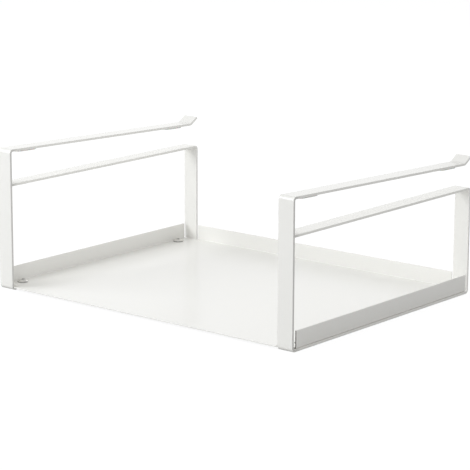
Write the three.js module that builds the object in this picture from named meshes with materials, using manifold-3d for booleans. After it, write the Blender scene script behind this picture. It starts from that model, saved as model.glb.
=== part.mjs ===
// Hanging storage rack: a folded steel tray, screwed onto two brackets of bent flat bar.
// The brackets' arms lie on a shelf board, and their middle rails pass under that board.
// Millimetres. X is the width, Y runs from the front to the back, and Z is up.
// The origin is on the surface below the rack, under its middle.

import * as THREE from "three";
import { mergeVertices } from "three/addons/utils/BufferGeometryUtils.js";
import Module from "manifold-3d";

// The whole rack
const WIDTH = 325; // over the outer edges of both brackets
const DEPTH = 250; // from the front posts' faces to the rear posts' backs
const HEIGHT = 125; // up to the front corners of the arms

// Brackets: flat bar, bent round
const BAR_WIDTH = 15;
const BAR_THICKNESS = 2;
const BEND_RADIUS = 1.5; // inside a right-angled bend
const WELD_FILLET = 0.8; // where the middle rail meets the front post
const BOARD_GAP_FRONT = 28.5; // between middle rail and arm, at the front
const BOARD_GAP_REAR = 20; // the same at the rear, narrower so that the arm grips
const LIP_LENGTH = 10.5; // the upturned end of an arm
const LIP_RISE = THREE.MathUtils.degToRad(32);
const LIP_BEND_RADIUS = 4; // on the upper face
const LIP_SETBACK = 1; // of the lip's tip from the rear posts' backs

// Tray: folded sheet
const SHEET_THICKNESS = 1;
const RIM_HEIGHT = 15; // from the tray's underside
const FOLD_RADIUS = 0.3; // inside a fold
const RIM_INSET = 0.5; // of the rims from the brackets' outer edges and rear faces
const BEND_GAP_FRONT = 2; // of the side rims from the bends at the front posts' feet
const BEND_GAP_REAR = 0.5; // the same at the rear posts' feet
const POST_GAP = 1.5; // of the front edge's and the back rim's ends from the posts beside them

// Truss-head screws, with a cross recess
const SCREW_DIAMETER = 4;
const SCREW_INSET = 20; // from the front and rear faces of the bracket
const SCREW_HOLE_CLEARANCE = 0.3; // all round the shank
const SHANK_RECESS = 0.3; // of the shank's end above the rail's underside
const HEAD_DIAMETER = 9.4;
const HEAD_HEIGHT = 2.5;
const HEAD_EDGE = 0.5; // height of the upright edge of the head
const RECESS_LENGTH = 4.4;
const RECESS_WIDTH = 1;
const RECESS_DEPTH = 1.4;

// Bumpers: soft pads under the arms, each held by a film of adhesive
const BUMPER_LENGTH = 25;
const BUMPER_WIDTH = 10; // across its round ends too
const BUMPER_THICKNESS = 1.2;
const BUMPER_GAP = 8.5; // from the bends at the arm's two ends
const ADHESIVE_FILM = 0.3;

// Fineness of the round shapes
const ARC_STEPS = 3;
const SCREW_SIDES = 24;
const DOME_STEPS = 6;
const PAD_STEPS = 8;

// Places that the pieces share
const railTop = HEIGHT - BAR_THICKNESS - BOARD_GAP_FRONT;
const armAngle = Math.atan2(BOARD_GAP_FRONT - BOARD_GAP_REAR, DEPTH);
const trayBottom = BAR_THICKNESS;
const floorTop = trayBottom + SHEET_THICKNESS;
const bracketX = (WIDTH - BAR_WIDTH) / 2; // middle of the right-hand bar
const screwY = DEPTH / 2 - SCREW_INSET;
const lipBendY = DEPTH / 2 - LIP_SETBACK - LIP_LENGTH * Math.cos(LIP_RISE);

const ENDS = [
  { name: "front", sign: -1 },
  { name: "rear", sign: 1 },
];
const SIDES = [
  { name: "left", sign: -1 },
  { name: "right", sign: 1 },
];

const powderCoat = { color: 0xf1f1ec, roughness: 0.45, metalness: 0 };
const zincPlate = { color: 0xb9b9b4, roughness: 0.3, metalness: 1 };
const silicone = { color: 0xe3e3df, roughness: 0.6, metalness: 0 };

const wasm = await Module();
wasm.setup();

/** A closed geometry as a solid that can be joined and cut. */
function toSolid(geometry) {
  const bare = geometry.clone();
  bare.deleteAttribute("normal");
  bare.deleteAttribute("uv");
  const merged = mergeVertices(bare);
  return new wasm.Manifold(
    new wasm.Mesh({
      numProp: 3,
      vertProperties: Float32Array.from(merged.attributes.position.array),
      triVerts: Uint32Array.from(merged.index.array),
    }),
  );
}

function toGeometry(solid) {
  const mesh = solid.getMesh();
  const geometry = new THREE.BufferGeometry();
  geometry.setAttribute("position", new THREE.BufferAttribute(mesh.vertProperties, 3));
  geometry.setIndex(new THREE.BufferAttribute(mesh.triVerts, 1));
  geometry.computeVertexNormals();
  return geometry;
}

/** Draws a closed outline through corners of [across, up, radius], each rounded to its radius. */
function drawOutline(path, corners) {
  corners.forEach(([across, up, radius = 0], i) => {
    const corner = new THREE.Vector2(across, up);
    const [backAcross, backUp] = corners.at(i - 1);
    const [nextAcross, nextUp] = corners[(i + 1) % corners.length];
    const toBack = new THREE.Vector2(backAcross, backUp).sub(corner).normalize();
    const toNext = new THREE.Vector2(nextAcross, nextUp).sub(corner).normalize();
    if (radius === 0) {
      if (i === 0) path.moveTo(corner.x, corner.y);
      else path.lineTo(corner.x, corner.y);
      return;
    }
    const halfAngle = toBack.angleTo(toNext) / 2;
    const reach = radius / Math.tan(halfAngle);
    const toCentre = toBack.clone().add(toNext).setLength(radius / Math.sin(halfAngle));
    const centre = corner.clone().add(toCentre);
    const from = toBack.clone().multiplyScalar(reach).sub(toCentre).angle();
    const to = toNext.clone().multiplyScalar(reach).sub(toCentre).angle();
    path.absarc(centre.x, centre.y, radius, from, to, toBack.cross(toNext) > 0);
  });
  path.closePath();
  return path;
}

/** An outline drawn from the side, as (y, z), and pushed out to both sides of x = 0. */
function extrudeAcross(shape, width) {
  const geometry = new THREE.ExtrudeGeometry(shape, {
    depth: width,
    bevelEnabled: false,
    curveSegments: ARC_STEPS,
  });
  geometry.translate(0, 0, -width / 2);
  const sideView = new THREE.Matrix4().makeBasis(
    new THREE.Vector3(0, 1, 0),
    new THREE.Vector3(0, 0, 1),
    new THREE.Vector3(1, 0, 0),
  );
  return geometry.applyMatrix4(sideView);
}

/** An outline drawn from the front, as (x, z), and pushed out to both sides of y = 0. */
function extrudeAlong(shape, depth) {
  const geometry = new THREE.ExtrudeGeometry(shape, {
    depth,
    bevelEnabled: false,
    curveSegments: ARC_STEPS,
  });
  geometry.translate(0, 0, -depth / 2);
  const frontView = new THREE.Matrix4().makeBasis(
    new THREE.Vector3(1, 0, 0),
    new THREE.Vector3(0, 0, 1),
    new THREE.Vector3(0, -1, 0),
  );
  return geometry.applyMatrix4(frontView);
}

/** An upright solid of revolution about Z, from a profile of (radius, height) points. */
function turn(profile, sides) {
  return new THREE.LatheGeometry(profile, sides).rotateX(Math.PI / 2);
}

/** Points of a dome from its edge, at (radius, edge), up to its crown on the axis at height. */
function domeProfile(radius, edge, height) {
  const rise = height - edge;
  const ball = (radius * radius + rise * rise) / (2 * rise);
  const spread = Math.asin(radius / ball);
  return Array.from({ length: DOME_STEPS + 1 }, (_, i) => {
    const angle = spread * (1 - i / DOME_STEPS);
    return new THREE.Vector2(ball * Math.sin(angle), height - ball * (1 - Math.cos(angle)));
  });
}

/** The upright holes that the screws of one bar pass through. */
function screwHoles() {
  const radius = SCREW_DIAMETER / 2 + SCREW_HOLE_CLEARANCE;
  const length = 4 * floorTop; // past the rail and the tray's floor on both sides
  return ENDS.map(({ sign }) => {
    const hole = new THREE.CylinderGeometry(radius, radius, length, SCREW_SIDES);
    return hole.rotateX(Math.PI / 2).translate(0, sign * screwY, 0);
  });
}

/** Height of an arm's middle line above a point of its depth. */
function armMiddle(y) {
  const frontMiddle = HEIGHT - BAR_THICKNESS / 2 / Math.cos(armAngle);
  return frontMiddle - (y + DEPTH / 2) * Math.tan(armAngle);
}

/** One face of a bent bar: its middle line, moved to the right of its run by a distance. */
function barFace(middle, distance) {
  const across = middle.slice(1).map((point, i) => {
    const run = point.clone().sub(middle[i]).normalize();
    return new THREE.Vector2(run.y, -run.x);
  });
  return middle.map((point, i) => {
    const before = across[Math.max(i - 1, 0)];
    const after = across[Math.min(i, across.length - 1)];
    const mitre = before.clone().add(after).divideScalar(1 + before.dot(after));
    return point.clone().addScaledVector(mitre, distance);
  });
}

function bracketGeometry() {
  const half = BAR_THICKNESS / 2;
  const front = half - DEPTH / 2;
  const rear = DEPTH / 2 - half;
  const lipBend = new THREE.Vector2(lipBendY, armMiddle(lipBendY));
  const middle = [
    new THREE.Vector2(LIP_LENGTH, 0).rotateAround(new THREE.Vector2(), LIP_RISE).add(lipBend),
    lipBend,
    new THREE.Vector2(front, armMiddle(front)),
    new THREE.Vector2(front, half),
    new THREE.Vector2(rear, half),
    new THREE.Vector2(rear, railTop - half),
    new THREE.Vector2(front + half, railTop - half),
  ];
  const rounded = (point, radius) => [point.x, point.y, radius];
  const outerBend = BEND_RADIUS + BAR_THICKNESS;
  const outer = barFace(middle, half);
  const inner = barFace(middle, -half);

  const shape = drawOutline(new THREE.Shape(), [
    rounded(outer[0], 0),
    rounded(outer[1], LIP_BEND_RADIUS),
    rounded(outer[2], outerBend),
    rounded(outer[3], outerBend),
    rounded(outer[4], outerBend),
    rounded(outer[5], outerBend),
    rounded(outer[6], WELD_FILLET),
    rounded(inner[2], BEND_RADIUS),
    rounded(inner[1], LIP_BEND_RADIUS + BAR_THICKNESS),
    rounded(inner[0], 0),
  ]);
  const window = drawOutline(new THREE.Path(), [
    rounded(inner[6], WELD_FILLET),
    rounded(inner[5], BEND_RADIUS),
    rounded(inner[4], BEND_RADIUS),
    rounded(inner[3], BEND_RADIUS),
  ]);
  shape.holes.push(window);

  const bar = toSolid(extrudeAcross(shape, BAR_WIDTH));
  return toGeometry(screwHoles().reduce((solid, hole) => solid.subtract(toSolid(hole)), bar));
}

function trayGeometry() {
  const outerFold = FOLD_RADIUS + SHEET_THICKNESS;
  const rimTop = trayBottom + RIM_HEIGHT;
  const half = WIDTH / 2 - RIM_INSET;
  const inside = half - SHEET_THICKNESS;
  const floorAndSides = drawOutline(new THREE.Shape(), [
    [-half, trayBottom, outerFold],
    [half, trayBottom, outerFold],
    [half, rimTop],
    [inside, rimTop],
    [inside, floorTop, FOLD_RADIUS],
    [-inside, floorTop, FOLD_RADIUS],
    [-inside, rimTop],
    [-half, rimTop],
  ]);
  const rimsFront = BAR_THICKNESS + BEND_RADIUS + BEND_GAP_FRONT - DEPTH / 2;
  const rimsRear = DEPTH / 2 - BAR_THICKNESS - BEND_RADIUS - BEND_GAP_REAR;
  const floorWithSides = extrudeAlong(floorAndSides, rimsRear - rimsFront);
  floorWithSides.translate(0, (rimsFront + rimsRear) / 2, 0);

  const front = -DEPTH / 2;
  const back = DEPTH / 2 - RIM_INSET;
  const floorAndBack = drawOutline(new THREE.Shape(), [
    [front, trayBottom],
    [back, trayBottom, outerFold],
    [back, rimTop],
    [back - SHEET_THICKNESS, rimTop],
    [back - SHEET_THICKNESS, floorTop, FOLD_RADIUS],
    [front, floorTop],
  ]);
  const floorWithBack = extrudeAcross(floorAndBack, WIDTH - 2 * (BAR_WIDTH + POST_GAP));

  const sheet = toSolid(floorWithSides).add(toSolid(floorWithBack));
  const holes = SIDES.flatMap(({ sign }) =>
    screwHoles().map((hole) => hole.translate(sign * bracketX, 0, 0)),
  );
  return toGeometry(holes.reduce((solid, hole) => solid.subtract(toSolid(hole)), sheet));
}

/** A screw that stands on z = 0, the underside of its head. */
function screwGeometry() {
  const shank = SCREW_DIAMETER / 2;
  const shankEnd = SHANK_RECESS - floorTop;
  const body = turn(
    [
      new THREE.Vector2(0, shankEnd),
      new THREE.Vector2(shank, shankEnd),
      new THREE.Vector2(shank, 0),
      new THREE.Vector2(HEAD_DIAMETER / 2, 0),
      ...domeProfile(HEAD_DIAMETER / 2, HEAD_EDGE, HEAD_HEIGHT),
    ],
    SCREW_SIDES,
  );
  const slots = [
    new THREE.BoxGeometry(RECESS_LENGTH, RECESS_WIDTH, 2 * RECESS_DEPTH),
    new THREE.BoxGeometry(RECESS_WIDTH, RECESS_LENGTH, 2 * RECESS_DEPTH),
  ].map((slot) => toSolid(slot.translate(0, 0, HEAD_HEIGHT)));
  return toGeometry(slots.reduce((solid, slot) => solid.subtract(slot), toSolid(body)));
}

/** A flat pad with round ends that hangs below z = 0. */
function bumperGeometry() {
  const round = BUMPER_WIDTH / 2;
  const straight = BUMPER_LENGTH / 2 - round;
  const outline = new THREE.Shape()
    .absarc(0, straight, round, 0, Math.PI, false)
    .absarc(0, -straight, round, Math.PI, 2 * Math.PI, false);
  const pad = new THREE.ExtrudeGeometry(outline, {
    depth: BUMPER_THICKNESS,
    bevelEnabled: false,
    curveSegments: PAD_STEPS,
  });
  return pad.translate(0, 0, -BUMPER_THICKNESS);
}

function makeMesh(name, geometry, finish) {
  const mesh = new THREE.Mesh(geometry, new THREE.MeshStandardMaterial(finish));
  mesh.name = name;
  return mesh;
}

function makeTray() {
  return makeMesh("tray", trayGeometry(), powderCoat);
}

/** One bracket with its screws and bumpers, on the middle of its bar. */
function makeBracket(side) {
  const group = new THREE.Group();
  group.add(makeMesh(`${side}_bracket`, bracketGeometry(), powderCoat));

  for (const { name, sign } of ENDS) {
    const screw = makeMesh(`${name}_${side}_screw`, screwGeometry(), zincPlate);
    screw.position.set(0, sign * screwY, floorTop);
    group.add(screw);
  }

  const fromBend = BUMPER_GAP + BUMPER_LENGTH / 2;
  const bumperY = {
    front: BAR_THICKNESS + BEND_RADIUS - DEPTH / 2 + fromBend,
    rear: lipBendY - fromBend,
  };
  const drop = (BAR_THICKNESS / 2 + ADHESIVE_FILM) / Math.cos(armAngle);
  for (const { name } of ENDS) {
    const bumper = makeMesh(`${name}_${side}_bumper`, bumperGeometry(), silicone);
    bumper.position.set(0, bumperY[name], armMiddle(bumperY[name]) - drop);
    bumper.rotation.x = -armAngle;
    group.add(bumper);
  }
  return group;
}

const rack = new THREE.Group();
rack.add(makeTray());
for (const { name, sign } of SIDES) {
  const bracket = makeBracket(name);
  bracket.position.x = sign * bracketX;
  rack.add(bracket);
}

export default rack;
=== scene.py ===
# %% [markdown]
# # A rack that hangs from a shelf board
#
# The rack is a shallow tray of folded steel sheet, screwed onto two brackets of bent flat bar.
# Long arms lie on top of a shelf board, rails pass under it, and soft pads keep the arms from scratching it.
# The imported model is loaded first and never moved: it says where each piece is, in metres, with Z up.
# Every piece below is modelled in its place and then stands for the plain solid of the same name.

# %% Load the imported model
import math

import bmesh
import bpy
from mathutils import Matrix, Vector


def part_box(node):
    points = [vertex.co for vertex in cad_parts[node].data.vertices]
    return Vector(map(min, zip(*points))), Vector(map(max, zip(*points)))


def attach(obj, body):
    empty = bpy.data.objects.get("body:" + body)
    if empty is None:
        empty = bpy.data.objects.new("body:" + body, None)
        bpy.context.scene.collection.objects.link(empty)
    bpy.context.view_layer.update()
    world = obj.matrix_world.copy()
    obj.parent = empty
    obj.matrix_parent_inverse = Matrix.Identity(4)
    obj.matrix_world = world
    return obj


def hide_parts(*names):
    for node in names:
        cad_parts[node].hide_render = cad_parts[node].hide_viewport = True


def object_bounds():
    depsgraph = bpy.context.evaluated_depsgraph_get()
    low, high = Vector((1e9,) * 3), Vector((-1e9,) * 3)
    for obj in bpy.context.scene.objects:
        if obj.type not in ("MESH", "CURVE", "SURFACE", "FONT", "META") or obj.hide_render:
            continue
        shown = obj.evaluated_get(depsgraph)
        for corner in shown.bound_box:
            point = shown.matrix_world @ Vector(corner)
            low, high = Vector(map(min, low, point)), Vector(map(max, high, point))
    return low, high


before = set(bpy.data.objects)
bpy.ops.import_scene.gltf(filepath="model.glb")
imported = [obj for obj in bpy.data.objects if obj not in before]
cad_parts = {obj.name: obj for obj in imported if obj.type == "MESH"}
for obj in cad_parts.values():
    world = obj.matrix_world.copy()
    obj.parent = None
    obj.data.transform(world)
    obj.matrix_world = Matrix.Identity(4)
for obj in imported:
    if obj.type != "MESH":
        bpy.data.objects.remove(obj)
cad_low, cad_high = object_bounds()
bpy.ops.object.select_all(action="DESELECT")
print("packed nodes:", ", ".join(sorted(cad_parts)))
print("packed box:", [round(value, 4) for value in cad_high - cad_low])

# %% [markdown]
# ## The sizes that drive the pieces
#
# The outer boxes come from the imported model, so that the looks can't drift away from it.
# What a box doesn't tell, such as a wall or a bend, is named here in metres.

# %% Sizes
BAR_THICKNESS = 0.002
BAR_BEND_RADIUS = 0.0015  # inside the bend
SHEET_THICKNESS = 0.001
SHEET_FOLD_RADIUS = 0.0003  # inside the fold
POST_GAP_SIDE = 0.0015  # of the back rim from the posts, and of the front edge
POST_GAP_FRONT = 0.0035  # of the side rims from the front posts
POST_GAP_REAR = 0.002  # of the side rims from the rear posts
SCREW_HOLE_RADIUS = 0.0023
SCREW_HEAD_RADIUS = 0.0047
SCREW_HEAD_HEIGHT = 0.0025
SCREW_HEAD_EDGE = 0.0005  # height of its upright edge

tray_low, tray_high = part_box("tray")
bar_low, bar_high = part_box("right_bracket")
screw_low, screw_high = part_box("rear_right_screw")

bracket_x = (bar_low.x + bar_high.x) / 2
bar_width = bar_high.x - bar_low.x
notch_x = bracket_x - bar_width / 2 - POST_GAP_SIDE
post_back = bar_low.y + BAR_THICKNESS
rims_front = post_back + POST_GAP_FRONT
rims_rear = bar_high.y - BAR_THICKNESS - POST_GAP_REAR
screw_y = (screw_low.y + screw_high.y) / 2
head_seat = tray_low.z + SHEET_THICKNESS
dome_rise = SCREW_HEAD_HEIGHT - SCREW_HEAD_EDGE
dome_radius = (SCREW_HEAD_RADIUS**2 + dome_rise**2) / (2 * dome_rise)
print(f"bars {bar_width * 1000:.1f} mm wide at x = {bracket_x * 1000:.1f} mm on both sides")

# %% [markdown]
# ## The camera
#
# Its place, direction and lens were found by fitting the rack's long straight edges to the photograph.
# A long lens from nearly two metres away keeps the posts all but upright and the arms almost parallel.
# The camera looks down a little, from the rack's right front corner.

# %% Camera
CAMERA_PLACE = Vector((1.13927, -1.38766, 0.45573))
CAMERA_TURN = math.radians(39.35)
CAMERA_DOWN = math.radians(12.74)
CAMERA_ROLL = math.radians(0.23)
FOCAL_PIXELS = 2111.4
PICTURE_PIXELS = 470

camera = bpy.data.objects.new("camera", bpy.data.cameras.new("camera"))
bpy.context.scene.collection.objects.link(camera)
bpy.context.scene.camera = camera
camera.location = CAMERA_PLACE
camera.rotation_euler = (math.pi / 2 - CAMERA_DOWN, 0, CAMERA_TURN)
camera.rotation_euler.rotate_axis("Z", CAMERA_ROLL)
camera.data.lens = FOCAL_PIXELS / PICTURE_PIXELS * camera.data.sensor_width
print(f"lens {camera.data.lens:.1f} mm, {camera.location.length:.2f} m from the rack's foot")

# %% [markdown]
# ## Wires: shader maths as plain expressions
#
# A shader is a net of nodes, and a sum of two numbers in it is a Math node with two links.
# Drawn by hand that takes many lines, so this small class wraps an output socket and overloads the operators:
# `0.4 + 0.1 * grain` then adds the two Math nodes by itself.
# Every other node comes from `node`, which sets the node's own settings first and then its sockets.


# %% Wire class
class Wire:
    """One output socket of a node tree, which can stand in an expression."""

    def __init__(self, tree, socket):
        self.tree = tree
        self.socket = socket

    def node(self, kind, settings=None, sockets=None, output=0):
        added = self.tree.nodes.new(kind)
        for name, value in (settings or {}).items():
            setattr(added, name, value)
        for name, value in (sockets or {}).items():
            if isinstance(value, Wire):
                self.tree.links.new(value.socket, added.inputs[name])
            else:
                added.inputs[name].default_value = value
        return Wire(self.tree, added.outputs[output])

    def math(self, operation, first, second):
        return self.node("ShaderNodeMath", {"operation": operation}, {0: first, 1: second})

    def __add__(self, other):
        return self.math("ADD", self, other)

    def __radd__(self, other):
        return self.math("ADD", other, self)

    def __sub__(self, other):
        return self.math("SUBTRACT", self, other)

    def __rsub__(self, other):
        return self.math("SUBTRACT", other, self)

    def __mul__(self, other):
        return self.math("MULTIPLY", self, other)

    def __rmul__(self, other):
        return self.math("MULTIPLY", other, self)

    def part(self, axis):
        """One part of a vector: 0 for X, 1 for Y, 2 for Z."""
        return self.node("ShaderNodeSeparateXYZ", None, {0: self}, output=axis)

    def apart(self, value):
        """How far the wire is from a value, whichever is larger."""
        return self.math("ABSOLUTE", self - value, 0)

    def noise(self, size, detail=2.0):
        """A cloud whose spots are about this many metres across, from 0 to 1."""
        sockets = {"Vector": self, "Scale": 1 / size, "Detail": detail}
        return self.node("ShaderNodeTexNoise", None, sockets)

    def step(self, low, high):
        """0 below low, 1 above high, and a smooth rise in between."""
        settings = {"interpolation_type": "SMOOTHSTEP"}
        sockets = {"Value": self, "From Min": low, "From Max": high}
        return self.node("ShaderNodeMapRange", settings, sockets)

    def tint(self, first, second):
        """A colour that goes from the first at 0 to the second at 1. Each is three numbers or a wire."""
        ends = [end if isinstance(end, Wire) else (*end, 1) for end in (first, second)]
        return self.node("ShaderNodeMix", {"data_type": "RGBA"}, {0: self, 6: ends[0], 7: ends[1]}, output=2)

    def bump(self, depth):
        """A normal that is dented by this many metres where the wire is 0."""
        sockets = {"Height": self, "Distance": depth, "Strength": 1.0}
        return self.node("ShaderNodeBump", None, sockets)


def new_finish(name):
    """A material with a Principled shader. Gives the material, its shader and its Object coordinates."""
    material = bpy.data.materials.new(name)
    material.use_nodes = True
    tree = material.node_tree
    place = Wire(tree, tree.nodes.new("ShaderNodeTexCoord").outputs["Object"])
    return material, tree.nodes["Principled BSDF"], place


def feed(shader, socket, wire):
    shader.id_data.links.new(wire.socket, shader.inputs[socket])


print("wires are ready")

# %% [markdown]
# ## White powder coat
#
# The steel is sprayed with dry powder and baked, which leaves a satin skin with a very fine orange peel.
# A flat white would look like paper, so three clouds of very different size work together.
# The smallest is the peel itself, which only dents the surface.
# A middle one makes the skin a little glossier here and duller there.
# The largest makes the white drift very slightly, and lets the sheet wave by hundredths of a millimetre.
# On the cut ends of the side rims, next to the posts, shade is painted into the coat: the ends lie in the
# posts' shadow and are coloured dark.
# The narrow sides of the front posts get a little painted shade too, and this fades along the arms and rails.

# %% Powder coat
COAT_WHITE = (0.911, 0.905, 0.873)
COAT_SHADE = (0.899, 0.893, 0.861)
COAT_ROUGHNESS = 0.16  # of its glossiest spots
PATCH_DULLS, PEEL_DULLS = 0.04, 0.03  # what they add to the roughness
COAT_WAVE = 0.00006  # depth of its waves, in metres
PEEL_SHARE = 0.05  # of the depth
PEEL_SIZE, PATCH_SIZE, DRIFT_SIZE = 0.0008, 0.012, 0.09
# Painted shade for the rims' cut ends, which lie in the posts' shadow
PAINTED_END_SHADE = (0.17, 0.167, 0.158)
# Painted shade for the narrow sides of the front posts
PAINTED_SIDE_SHADE = (0.69, 0.685, 0.661)
SIDE_SHADE_FADE = 0.008
END_SHADE_DEPTH = 0.0003  # how far the painted shade reaches in from the cut


def make_powder_coat():
    material, shader, place = new_finish("powder_coat")
    peel, patches, drift = (place.noise(size) for size in (PEEL_SIZE, PATCH_SIZE, DRIFT_SIZE))
    x, y, z = (place.part(axis) for axis in range(3))
    to_cut = y.math("MINIMUM", y.apart(rims_front), y.apart(rims_rear))
    near_rim = x.apart(0).step(bracket_x, bracket_x + bar_width / 4)
    above_rail = z.step(tray_low.z + END_SHADE_DEPTH / 2, tray_low.z + END_SHADE_DEPTH)
    below_top = z.step(tray_high.z + 2 * END_SHADE_DEPTH, tray_high.z + END_SHADE_DEPTH)
    # painted shade on the rims' cut ends next to the posts
    painted_end_shade = to_cut.step(END_SHADE_DEPTH, END_SHADE_DEPTH / 3) * near_rim * above_rail * below_top
    at_side = x.apart(0).apart(bracket_x).apart(bar_width / 2).step(END_SHADE_DEPTH, END_SHADE_DEPTH / 3)
    # painted shade on the narrow sides of the front posts, fading along the arms and rails
    painted_side_shade = at_side * y.step(post_back + SIDE_SHADE_FADE, post_back)
    white = drift.tint(COAT_WHITE, COAT_SHADE)
    feed(shader, "Base Color", painted_end_shade.tint(painted_side_shade.tint(white, PAINTED_SIDE_SHADE), PAINTED_END_SHADE))
    feed(shader, "Roughness", COAT_ROUGHNESS + PATCH_DULLS * patches + PEEL_DULLS * peel)
    feed(shader, "Normal", (PEEL_SHARE * peel + drift).bump(COAT_WAVE))
    return material


powder_coat = make_powder_coat()
print("powder coat:", len(powder_coat.node_tree.nodes), "nodes")

# %% [markdown]
# ## Zinc plate
#
# The screws are bright steel under a thin film of zinc, pressed and then rolled.
# The die leaves rings round the axis of the head, and the plating has small cloudy crystals.
# Shade is painted into its colour: darker in the recess, on the crown round it, and along the lower edge of
# the head.
# The four screws mirror each other, so the absolute value of the place brings them all to one corner.
# There one shift puts the origin into the middle of the ball that the dome is a cap of.
# The rings then run round the axis, and what lies deeper than the ball's skin is the recess.

# %% Zinc plate
ZINC_BRIGHT = (0.90, 0.89, 0.86)
ZINC_DULL = (0.78, 0.77, 0.74)
# colour of the painted shade on the screws
PAINTED_ZINC_SHADE = (0.13, 0.127, 0.12)
ZINC_ROUGHNESS = 0.22  # of its brightest spots
ZINC_GRAIN = 0.000006  # depth of the rings and crystals, in metres
CRYSTAL_SIZE = 0.0007
CRYSTAL_CONTRAST = (0.35, 0.7)
CRYSTAL_DULLS, RING_DULLS = 0.12, 0.06  # what they add to the roughness
RING_SCALE = 900.0
RING_WOBBLE = 1.5
RECESS_SKIN = (0.00003, 0.0002)  # how deep the painted shade of the recess starts and ends
EDGE_SHADE_STRENGTH = 0.7
CROWN_SHADE = 0.0019  # height on the head where the painted shade round the recess begins
CROWN_SHADE_STRENGTH = 0.65


def make_zinc_plate():
    material, shader, place = new_finish("zinc_plate")
    shader.inputs["Metallic"].default_value = 1.0
    corner = place.node("ShaderNodeVectorMath", {"operation": "ABSOLUTE"}, {0: place})
    dome_middle = (bracket_x, screw_y, head_seat + SCREW_HEAD_HEIGHT - dome_radius)
    centred = corner.node("ShaderNodeVectorMath", {"operation": "SUBTRACT"}, {0: corner, 1: dome_middle})
    rings = centred.node(
        "ShaderNodeTexWave",
        {"wave_type": "RINGS", "rings_direction": "Z"},
        {"Vector": centred, "Scale": RING_SCALE, "Distortion": RING_WOBBLE},
    )
    crystals = place.noise(CRYSTAL_SIZE)
    from_middle = centred.node("ShaderNodeVectorMath", {"operation": "LENGTH"}, {0: centred}, output=1)
    recess = (dome_radius - from_middle).step(*RECESS_SKIN)
    height = corner.part(2)
    crown = height.step(head_seat + CROWN_SHADE, head_seat + SCREW_HEAD_HEIGHT)
    edge = height.step(head_seat + 2 * SCREW_HEAD_EDGE, head_seat + SCREW_HEAD_EDGE)
    # painted shade in the recess, on the crown round it and along the head's lower edge
    painted_screw_shade = recess.math("MAXIMUM", recess, EDGE_SHADE_STRENGTH * edge + CROWN_SHADE_STRENGTH * crown)
    plate = crystals.step(*CRYSTAL_CONTRAST).tint(ZINC_BRIGHT, ZINC_DULL)
    feed(shader, "Base Color", painted_screw_shade.tint(plate, PAINTED_ZINC_SHADE))
    feed(shader, "Roughness", ZINC_ROUGHNESS + CRYSTAL_DULLS * crystals + RING_DULLS * rings)
    feed(shader, "Normal", (rings + crystals).bump(ZINC_GRAIN))
    return material


zinc_plate = make_zinc_plate()
print("zinc plate:", len(zinc_plate.node_tree.nodes), "nodes")

# %% [markdown]
# ## Silicone
#
# The pads are moulded from soft grey silicone, a little cloudy and never glossy.
# Some of the light wanders inside it, which is what subsurface scattering is for.

# %% Silicone
SILICONE_PALE = (0.80, 0.80, 0.78)
SILICONE_DEEP = (0.74, 0.74, 0.72)
SILICONE_ROUGHNESS = 0.5
SILICONE_DENT = 0.00002
SILICONE_MILK = 0.25  # share of the light that goes inside
SILICONE_SCATTER = 0.0008  # how far it wanders there
SKIN_DULLS = 0.15
CLOUD_SHARE = 2.0  # of the dents
CLOUD_SIZE, SKIN_SIZE = 0.004, 0.0005


def make_silicone():
    material, shader, place = new_finish("silicone")
    shader.inputs["Subsurface Weight"].default_value = SILICONE_MILK
    shader.inputs["Subsurface Scale"].default_value = SILICONE_SCATTER
    cloud, skin = place.noise(CLOUD_SIZE), place.noise(SKIN_SIZE)
    feed(shader, "Base Color", cloud.tint(SILICONE_PALE, SILICONE_DEEP))
    feed(shader, "Roughness", SILICONE_ROUGHNESS + SKIN_DULLS * skin)
    feed(shader, "Normal", (skin + CLOUD_SHARE * cloud).bump(SILICONE_DENT))
    return material


silicone = make_silicone()
print("silicone:", len(silicone.node_tree.nodes), "nodes")

# %% [markdown]
# ## Hands for edit mode
#
# By hand one adds a primitive, opens it, points at an edge and pulls.
# A script can't point, so it says where the edge is: `pick` selects what lies wholly in a place.
# The other helpers name a new primitive, put its place into its mesh, and apply a modifier at once.

# %% Modelling helpers
NEAR = 1e-5
SHARP = math.radians(40)  # edges that turn by more are sharp
HOLE_SIDES = 48


def take(piece):
    """Selects this piece alone and makes it the active one."""
    bpy.ops.object.select_all(action="DESELECT")
    piece.select_set(True)
    bpy.context.view_layer.objects.active = piece


def new_piece(name, size=(1, 1, 1)):
    """Takes the primitive that was just added, names and sizes it, and puts its place into its mesh."""
    piece = bpy.context.object
    piece.name = piece.data.name = name
    piece.scale = size
    bpy.ops.object.transform_apply(location=True, rotation=True, scale=True)
    return piece


def edit(piece):
    take(piece)
    bpy.ops.object.mode_set(mode="EDIT")


def leave_edit():
    bpy.ops.object.mode_set(mode="OBJECT")


def pick(piece, kind, inside):
    """In edit mode, selects each VERT or EDGE that lies wholly inside, or each FACE whose middle does."""
    bpy.ops.mesh.select_mode(type=kind)
    bpy.ops.mesh.select_all(action="DESELECT")
    mesh = bmesh.from_edit_mesh(piece.data)
    places = {
        "VERT": [(vertex, [vertex.co]) for vertex in mesh.verts],
        "EDGE": [(edge, [vertex.co for vertex in edge.verts]) for edge in mesh.edges],
        "FACE": [(face, [face.calc_center_median()]) for face in mesh.faces],
    }[kind]
    for element, points in places:
        element.select_set(all(inside(point) for point in points))
    mesh.select_flush_mode()
    bmesh.update_edit_mesh(piece.data)


def round_picked(radius, segments):
    """In edit mode, bevels the selected edges into an arc that starts this far from them."""
    bpy.ops.mesh.bevel(
        offset=radius,
        offset_type="OFFSET",
        segments=segments,
        profile=0.5,
        affect="EDGES",
        clamp_overlap=False,
    )


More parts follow.
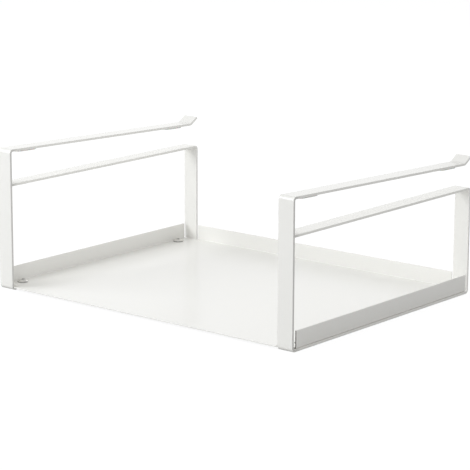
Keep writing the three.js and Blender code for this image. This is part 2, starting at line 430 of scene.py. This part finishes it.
def modify(piece, kind, **settings):
    """Adds a modifier with these settings and applies it."""
    modifier = piece.modifiers.new(kind.lower(), kind)
    for name, value in settings.items():
        setattr(modifier, name, value)
    bpy.context.view_layer.objects.active = piece
    bpy.ops.object.modifier_apply(modifier=modifier.name)


def cut_away(piece, cutter):
    modify(piece, "BOOLEAN", operation="DIFFERENCE", object=cutter, solver="EXACT")
    bpy.data.objects.remove(cutter)


def smooth(piece):
    """Lets the bends look round and keeps the flat faces looking flat."""
    take(piece)
    bpy.ops.object.shade_smooth_by_angle(angle=SHARP)
    modify(piece, "WEIGHTED_NORMAL", keep_sharp=True)


def soften(piece, radius, segments=3):
    """Rounds the sharp edges, as a coat or a mould does."""
    modify(
        piece,
        "BEVEL",
        width=radius,
        segments=segments,
        limit_method="ANGLE",
        angle_limit=SHARP,
        use_clamp_overlap=True,
    )
    smooth(piece)


def face_outwards(piece, merge=NEAR / 10):
    """Joins points that lie this close together, and turns all faces to the outside."""
    edit(piece)
    bpy.ops.mesh.select_all(action="SELECT")
    bpy.ops.mesh.remove_doubles(threshold=merge)
    bpy.ops.mesh.normals_make_consistent(inside=False)
    leave_edit()


def copy_piece(piece, name):
    """A copy with a mesh of its own."""
    copy = piece.copy()
    copy.data = piece.data.copy()
    copy.name = copy.data.name = name
    bpy.context.scene.collection.objects.link(copy)
    return copy


def settle(piece, turn, place):
    """Turns a piece about X, Y and Z, moves it to its place, and puts both into its mesh."""
    take(piece)
    piece.rotation_euler = turn
    piece.location = place
    bpy.ops.object.transform_apply(location=True, rotation=True, scale=True)


def dress(piece, material, slot, *nodes):
    """Gives a piece its finish, lets it ride on the rack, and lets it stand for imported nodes."""
    piece.data.materials.clear()
    piece.data.materials.append(material)
    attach(piece, "root")
    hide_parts(*nodes)
    print(f"{piece.name}: {len(piece.data.polygons)} faces")


def drill(piece, x, y):
    """Cuts an upright screw hole through the sheet or bar."""
    bpy.ops.mesh.primitive_cylinder_add(
        vertices=HOLE_SIDES,
        radius=SCREW_HOLE_RADIUS,
        depth=4 * (BAR_THICKNESS + SHEET_THICKNESS),
        location=(x, y, 0),
    )
    cut_away(piece, new_piece("drill"))


print("helpers are ready")

# %% [markdown]
# ## The tray
#
# The tray is one sheet: a flat floor with three rims folded up, open at the front.
# Its corners are cut away so that the posts of the brackets can pass.
# The real maker cuts the flat sheet, folds it and coats it, and the model is made in that order.
# A plane in the middle of the sheet is cut into nine fields, the four corner fields are deleted,
# and three edges are pulled up. A bevel on each fold line bends it, and Solidify gives the sheet its wall.

# %% Tray
FOLD_SEGMENTS = 8
SHEET_EDGE_ROUND = 0.00025

wall = SHEET_THICKNESS / 2
floor_z = tray_low.z + wall
side_x = tray_high.x - wall
back_y = tray_high.y - wall
front_y = tray_low.y


def cut_sheet():
    depth = back_y - front_y
    bpy.ops.mesh.primitive_plane_add(size=1, location=(0, (back_y + front_y) / 2, floor_z))
    sheet = new_piece("sheet_tray", (2 * side_x, depth, 1))
    edit(sheet)
    for x in (-notch_x, notch_x):
        bpy.ops.mesh.select_all(action="SELECT")
        bpy.ops.mesh.bisect(plane_co=(x, 0, floor_z), plane_no=(1, 0, 0))
    for y in (rims_front, rims_rear):
        bpy.ops.mesh.select_all(action="SELECT")
        bpy.ops.mesh.bisect(plane_co=(0, y, floor_z), plane_no=(0, 1, 0))
    pick(sheet, "FACE", lambda p: abs(p.x) > notch_x and not rims_front < p.y < rims_rear)
    bpy.ops.mesh.delete(type="FACE")
    leave_edit()
    return sheet


def fold_rim(sheet, on_edge):
    """Pulls the edge up into a rim and bends the sheet along the fold line."""
    edit(sheet)
    pick(sheet, "EDGE", lambda p: on_edge(p) and p.z < floor_z + NEAR)
    rise = (0, 0, tray_high.z - floor_z)
    bpy.ops.mesh.extrude_region_move(TRANSFORM_OT_translate={"value": rise})
    pick(sheet, "EDGE", lambda p: on_edge(p) and p.z < floor_z + NEAR)
    round_picked(SHEET_FOLD_RADIUS + wall, FOLD_SEGMENTS)
    leave_edit()


tray = cut_sheet()
fold_rim(tray, lambda p: p.x < -side_x + NEAR)
fold_rim(tray, lambda p: p.x > side_x - NEAR)
fold_rim(tray, lambda p: p.y > back_y - NEAR)
modify(tray, "SOLIDIFY", thickness=SHEET_THICKNESS, offset=0, use_even_offset=True)
face_outwards(tray)
for x in (-bracket_x, bracket_x):
    for y in (-screw_y, screw_y):
        drill(tray, x, y)
soften(tray, SHEET_EDGE_ROUND)
dress(tray, powder_coat, "powder_coat", "tray")

# %% [markdown]
# ## The brackets
#
# A bracket is one flat bar, bent like a paper clip.
# From end to end it is the lip, the arm, the front post, the bottom rail, the rear post and the middle rail.
# An extruded outline would give the shape too, but a ribbon along the bar is closer to the maker's work.
# Each stretch is pulled out of the last one, each crease is bevelled into its bend,
# and Solidify then adds the steel.
# The arm falls a little towards the rear, so that it has to spring open when it grips a board.

# %% Bracket line
ARM_CORNER_HEIGHT = 0.125  # where the arm's and the front post's outer faces would meet
ARM_DROP = 0.0085  # over the whole depth
RAIL_TOP = 0.0945
LIP_LENGTH = 0.0105
LIP_RISE = math.radians(32)
LIP_BEND_RADIUS = 0.004
LIP_SETBACK = 0.001

bar_half = BAR_THICKNESS / 2
arm_angle = math.atan2(ARM_DROP, bar_high.y - bar_low.y)
lip_bend_y = bar_high.y - LIP_SETBACK - LIP_LENGTH * math.cos(LIP_RISE)


def arm_middle(y):
    """Height of the arm's middle line."""
    return ARM_CORNER_HEIGHT - bar_half / math.cos(arm_angle) - (y - bar_low.y) * math.tan(arm_angle)


def side_point(y, z):
    return Vector((0, y, z))


front_line = bar_low.y + bar_half
rear_line = bar_high.y - bar_half
lip_bend = side_point(lip_bend_y, arm_middle(lip_bend_y))
lip_tip = lip_bend + LIP_LENGTH * side_point(math.cos(LIP_RISE), math.sin(LIP_RISE))
bar_line = [
    lip_tip,
    lip_bend,
    side_point(front_line, arm_middle(front_line)),
    side_point(front_line, bar_half),
    side_point(rear_line, bar_half),
    side_point(rear_line, RAIL_TOP - bar_half),
    side_point(front_line + bar_half, RAIL_TOP - bar_half),
]
bend_radii = [LIP_BEND_RADIUS + bar_half] + 4 * [BAR_BEND_RADIUS + bar_half]
bar_length = sum((after - before).length for before, after in zip(bar_line, bar_line[1:]))
print(f"each bracket is bent from about {bar_length * 1000:.0f} mm of bar")

# %% Bracket bar
BEND_SEGMENTS = 10
BAR_EDGE_ROUND = 0.0002


def pull_ribbon():
    first, second = bar_line[0], bar_line[1]
    run = second - first
    bpy.ops.mesh.primitive_plane_add(
        size=1,
        location=(first + second) / 2,
        rotation=(math.atan2(run.z, run.y), 0, 0),
    )
    ribbon = new_piece("bracket_bar", (bar_width, run.length, 1))
    edit(ribbon)
    pick(ribbon, "EDGE", lambda p: abs(p.y - second.y) < NEAR)
    for before, after in zip(bar_line[1:], bar_line[2:]):
        bpy.ops.mesh.extrude_region_move(TRANSFORM_OT_translate={"value": after - before})
    leave_edit()
    return ribbon


def bend_ribbon(ribbon):
    edit(ribbon)
    for before, bend, after, radius in zip(bar_line, bar_line[1:], bar_line[2:], bend_radii):
        turn = (bend - before).angle(after - bend)
        pick(ribbon, "EDGE", lambda p: abs(p.y - bend.y) < NEAR and abs(p.z - bend.z) < NEAR)
        round_picked(radius * math.tan(turn / 2), BEND_SEGMENTS)
    leave_edit()


bracket = pull_ribbon()
bend_ribbon(bracket)
modify(bracket, "SOLIDIFY", thickness=BAR_THICKNESS, offset=0, use_even_offset=True)
face_outwards(bracket)
for y in (-screw_y, screw_y):
    drill(bracket, 0, y)
soften(bracket, BAR_EDGE_ROUND)
print(f"bracket pattern: {len(bracket.data.polygons)} faces")

# %% [markdown]
# ## The weld
#
# The middle rail ends against the back of the front post and is welded there, above and below.
# Each seam is a bead about a millimetre high that runs across the bar, rippled where the pool froze.
# A cube in the corner becomes the bead: its free edge is bevelled round, and every other ring is pinched.

# %% Weld beads
BEAD_LEG = 0.001
BEAD_LENGTH = 0.0136
BEAD_RIPPLES = 17
BEAD_PINCH = 0.86
BEAD_END = 0.5  # share of the leg that is left at its two ends
BEAD_CROWN = 0.95  # share of the leg that is rounded
BEAD_SEGMENTS = 5
BEAD_SHARP = math.radians(50)

rail_bottom = RAIL_TOP - BAR_THICKNESS


def make_bead(name, z, up):
    """A bead in the corner between the post and the rail, above it if up is 1 and below it if up is -1."""
    corner = Vector((0, post_back, z))
    middle = corner + Vector((0, BEAD_LEG / 2, up * BEAD_LEG / 2))
    bpy.ops.mesh.primitive_cube_add(size=1, location=middle)
    bead = new_piece(name, (BEAD_LENGTH, BEAD_LEG, BEAD_LEG))
    edit(bead)
    pick(bead, "EDGE", lambda p: p.y > post_back + BEAD_LEG / 2 and (p.z - z) * up > BEAD_LEG / 2)
    round_picked(BEAD_CROWN * BEAD_LEG, BEAD_SEGMENTS)
    for i in range(1, 2 * BEAD_RIPPLES):
        x = BEAD_LENGTH * (i / (2 * BEAD_RIPPLES) - 0.5)
        bpy.ops.mesh.select_all(action="SELECT")
        bpy.ops.mesh.bisect(plane_co=(x, 0, 0), plane_no=(1, 0, 0))
        if i % 2 == 0:
            pick(bead, "VERT", lambda p: abs(p.x - x) < NEAR)
            bpy.ops.transform.resize(value=(1, BEAD_PINCH, BEAD_PINCH), center_override=corner)
    for end in (-1, 1):
        pick(bead, "VERT", lambda p: p.x * end > BEAD_LENGTH / 2 - NEAR)
        bpy.ops.transform.resize(value=(1, BEAD_END, BEAD_END), center_override=corner)
    leave_edit()
    face_outwards(bead)
    return bead


upper_bead = make_bead("upper_bead", RAIL_TOP, 1)
lower_bead = make_bead("lower_bead", rail_bottom, -1)
for bead in (upper_bead, lower_bead):
    take(bead)
    bpy.ops.object.shade_smooth_by_angle(angle=BEAD_SHARP)
    print(f"{bead.name}: {len(bead.data.polygons)} faces")

# %% Both sides
for side, sign in (("left", -1), ("right", 1)):
    bar = copy_piece(bracket, f"flat_bar_{side}")
    settle(bar, (0, 0, 0), (sign * bracket_x, 0, 0))
    dress(bar, powder_coat, "powder_coat", f"{side}_bracket")
    for level, bead in (("upper", upper_bead), ("lower", lower_bead)):
        weld = copy_piece(bead, f"weld_{level}_{side}")
        settle(weld, (0, 0, 0), (sign * bracket_x, 0, 0))
        dress(weld, powder_coat, "powder_coat")
for pattern in (bracket, upper_bead, lower_bead):
    bpy.data.objects.remove(pattern)

# %% [markdown]
# ## The screws
#
# Four truss-head screws hold the tray on the bottom rails: a wide low dome with a cross recess.
# A turned part is best drawn as half a section and spun round its axis.
# Its edges are rounded while the mesh is still regular.
# The recess is then cut with a cross that narrows towards its tip, as the real driver does.
# Such a cut leaves points that almost meet, and these are merged.

# %% Screw
SHANK_RADIUS = 0.002
SHANK_CHAMFER = 0.0004
DOME_STEPS = 10
SPIN_STEPS = 64
RECESS_LENGTH = 0.0044
RECESS_WIDTH = 0.001
RECESS_DEPTH = 0.0014
RECESS_TIP = 0.62  # share of the cross that is left at its tip
SCREW_EDGE_ROUND = 0.00012

shank_length = head_seat - screw_low.z


def screw_section():
    """Half a section of the screw as (radius, height) points, from the shank's tip to the crown."""
    spread = math.asin(SCREW_HEAD_RADIUS / dome_radius)
    dome = []
    for i in range(DOME_STEPS + 1):
        angle = spread * (1 - i / DOME_STEPS)
        height = SCREW_HEAD_HEIGHT - dome_radius * (1 - math.cos(angle))
        dome.append((dome_radius * math.sin(angle), height))
    shank = [
        (0, -shank_length),
        (SHANK_RADIUS - SHANK_CHAMFER, -shank_length),
        (SHANK_RADIUS, SHANK_CHAMFER - shank_length),
        (SHANK_RADIUS, 0),
        (SCREW_HEAD_RADIUS, 0),
    ]
    return [Vector((radius, 0, height)) for radius, height in shank + dome]


def spin_screw():
    section = screw_section()
    bpy.ops.mesh.primitive_plane_add(size=SHANK_RADIUS, location=section[0])
    screw = new_piece("screw_pattern")
    edit(screw)
    bpy.ops.mesh.merge(type="CENTER")
    for before, after in zip(section, section[1:]):
        bpy.ops.mesh.extrude_vertices_move(TRANSFORM_OT_translate={"value": after - before})
    bpy.ops.mesh.select_all(action="SELECT")
    bpy.ops.mesh.spin(steps=SPIN_STEPS, angle=2 * math.pi, center=(0, 0, 0), axis=(0, 0, 1))
    leave_edit()
    face_outwards(screw)
    return screw


def make_cross():
    """The driver's tip: a square post with four arms, narrower at the bottom."""
    arm = (RECESS_LENGTH - RECESS_WIDTH) / 2
    bpy.ops.mesh.primitive_cube_add(size=1, location=(0, 0, SCREW_HEAD_HEIGHT))
    cross = new_piece("cross", (RECESS_WIDTH, RECESS_WIDTH, 2 * RECESS_DEPTH))
    edit(cross)
    reach = RECESS_WIDTH / 2 - NEAR
    for pull in ((arm, 0, 0), (-arm, 0, 0), (0, arm, 0), (0, -arm, 0)):
        outwards = Vector(pull).normalized()
        pick(cross, "FACE", lambda p: p.dot(outwards) > reach and abs(p.cross(outwards).z) < NEAR)
        bpy.ops.mesh.extrude_region_move(TRANSFORM_OT_translate={"value": pull})
    pick(cross, "VERT", lambda p: p.z < SCREW_HEAD_HEIGHT)
    bpy.ops.transform.resize(value=(RECESS_TIP, RECESS_TIP, 1), center_override=(0, 0, SCREW_HEAD_HEIGHT))
    leave_edit()
    face_outwards(cross)
    return cross


screw = spin_screw()
soften(screw, SCREW_EDGE_ROUND, segments=2)
cut_away(screw, make_cross())
face_outwards(screw, merge=2 * NEAR)
smooth(screw)
print(f"screw pattern: {len(screw.data.polygons)} faces, shank {shank_length * 1000:.1f} mm long")

# %% Four screws
SCREW_TURNS = {
    "front_left": math.radians(39),
    "rear_left": math.radians(58),
    "front_right": math.radians(-12),
    "rear_right": math.radians(77),
}

for corner, turn in SCREW_TURNS.items():
    low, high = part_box(f"{corner}_screw")
    placed = copy_piece(screw, f"truss_screw_{corner}")
    settle(placed, (0, 0, turn), ((low.x + high.x) / 2, (low.y + high.y) / 2, head_seat))
    dress(placed, zinc_plate, "plated_steel", f"{corner}_screw")
bpy.data.objects.remove(screw)

# %% [markdown]
# ## The soft pads
#
# A pad with round ends sits under each end of each arm, held by a film of adhesive.
# A flat disc of points is pulled apart into the long outline and then pushed down to its thickness.
# The lower edge is rounded widely, as moulded silicone is, and the film is a thin step on top.

# %% Pad
PAD_LENGTH = 0.025
PAD_WIDTH = 0.01
PAD_THICKNESS = 0.0012
PAD_EDGE_ROUND = 0.0004
PAD_EDGE_SEGMENTS = 5
PAD_OUTLINE_POINTS = 64
FILM_EDGE_ROUND = 0.00008
FILM_THICKNESS = 0.0003
FILM_INSET = 0.0006
PAD_GAP = 0.0085  # from the bends at the arm's two ends


def make_pad():
    """A pad that hangs below z = 0, with its film above."""
    stretch = (PAD_LENGTH - PAD_WIDTH) / 2
    bpy.ops.mesh.primitive_circle_add(
        vertices=PAD_OUTLINE_POINTS, radius=PAD_WIDTH / 2, fill_type="NGON"
    )
    pad = new_piece("pad_pattern")
    edit(pad)
    for end in (-1, 1):
        pick(pad, "VERT", lambda p: p.y * end > NEAR)
        bpy.ops.transform.translate(value=(0, end * stretch, 0))
    bpy.ops.mesh.select_all(action="SELECT")
    bpy.ops.mesh.extrude_region_move(TRANSFORM_OT_translate={"value": (0, 0, -PAD_THICKNESS)})
    pick(pad, "EDGE", lambda p: p.z < -PAD_THICKNESS + NEAR)
    round_picked(PAD_EDGE_ROUND, PAD_EDGE_SEGMENTS)
    pick(pad, "FACE", lambda p: p.z > -NEAR)
    bpy.ops.mesh.inset(thickness=FILM_INSET)
    bpy.ops.mesh.extrude_region_move(TRANSFORM_OT_translate={"value": (0, 0, FILM_THICKNESS)})
    leave_edit()
    face_outwards(pad)
    return pad


pad = make_pad()
soften(pad, FILM_EDGE_ROUND, segments=2)
print(f"pad pattern: {len(pad.data.polygons)} faces")

# %% Four pads
from_bend = PAD_GAP + PAD_LENGTH / 2
pad_places = {
    "front": post_back + BAR_BEND_RADIUS + from_bend,
    "rear": lip_bend_y - from_bend,
}
pad_drop = (bar_half + FILM_THICKNESS) / math.cos(arm_angle)

for end, y in pad_places.items():
    for side, sign in (("left", -1), ("right", 1)):
        placed = copy_piece(pad, f"pad_{end}_{side}")
        settle(placed, (-arm_angle, 0, 0), (sign * bracket_x, y, arm_middle(y) - pad_drop))
        dress(placed, silicone, "silicone", f"{end}_{side}_bumper")
bpy.data.objects.remove(pad)

# %% [markdown]
# ## The stage
#
# The photograph shows the rack on pure white, with next to no shadow on the ground.
# One floor bright enough for that would flood the rack with light from below, so there are two in one place.
# The camera sees a sheet of paper that shines by itself and lights nothing.
# The rack sees a pale grey floor, which takes the shadows and throws a softer light up under the bars.

# %% Two floors
FLOOR_SIZE = 16


def lay_floor(name, depth, grey, glow):
    """A large matt floor, this far below the rack's feet, that shines by itself if glow is above 0."""
    bpy.ops.mesh.primitive_plane_add(size=FLOOR_SIZE, location=(0, 0, cad_low.z - depth))
    floor = new_piece(name)
    finish, shader, _ = new_finish(name)
    shader.inputs["Base Color"].default_value = (grey, grey, grey, 1)
    shader.inputs["Roughness"].default_value = 1.0
    shader.inputs["Specular IOR Level"].default_value = 0.0
    shader.inputs["Emission Color"].default_value = (1, 1, 1, 1)
    shader.inputs["Emission Strength"].default_value = glow
    floor.data.materials.append(finish)
    return floor


paper = lay_floor("paper", depth=0.00005, grey=0.13, glow=0.92)
paper.visible_diffuse = paper.visible_glossy = paper.visible_shadow = False
studio_floor = lay_floor("studio_floor", depth=0.0002, grey=0.55, glow=0)
studio_floor.visible_camera = False
print("floors:", paper.name, "and", studio_floor.name)

# %% [markdown]
# ## The light
#
# In the photograph the rack's faces differ by only a few levels of white, so light comes from all round.
# An even sky gives that. The camera sees it in the same white as the paper, so that no horizon shows.
# Four broad round lamps then lift one side after the other.
# The strongest stands high at the front left and is a little cool.
# The others stand low, before and behind the rack.
# Their shine on the satin coat draws the bends, the rims and the edges of the sheet.

# %% Sky
SKY_STRENGTH = 0.594

sky = bpy.data.worlds.new("sky")
bpy.context.scene.world = sky
sky.use_nodes = True
background = sky.node_tree.nodes["Background"]
background.inputs["Color"].default_value = (1, 1, 1, 1)
seen = Wire(sky.node_tree, sky.node_tree.nodes.new("ShaderNodeLightPath").outputs["Is Camera Ray"])
feed(background, "Strength", SKY_STRENGTH + (1 - SKY_STRENGTH) * seen)
bpy.context.scene.view_settings.view_transform = "Standard"
print("sky strength for the rack:", SKY_STRENGTH)

# %% Lamps
LAMP_SIZE = 1.2
LAMPS = {  # place in metres, power in watts, colour
    "front_left": ((-1.1, -1.1, 1.0), 16.8, (0.98, 1.0, 1.02)),
    "front_right": ((0.9, -1.5, 0.2), 4.8, (1.0, 1.0, 1.0)),
    "back": ((0, 1.7, 0.5), 9.3, (1.0, 1.0, 1.0)),
    "back_left": ((-1.2, 1.2, 0.5), 1.75, (1.0, 1.0, 1.0)),
}

for name, (place, power, colour) in LAMPS.items():
    lamp = bpy.data.objects.new(f"lamp_{name}", bpy.data.lights.new(f"lamp_{name}", "AREA"))
    bpy.context.scene.collection.objects.link(lamp)
    lamp.location = place
    lamp.rotation_euler = (-lamp.location).to_track_quat("-Z", "Y").to_euler()
    lamp.data.shape = "DISK"
    lamp.data.size = LAMP_SIZE
    lamp.data.energy = power
    lamp.data.color = colour
    lamp.visible_camera = False
print(len(LAMPS), "lamps under an even sky")
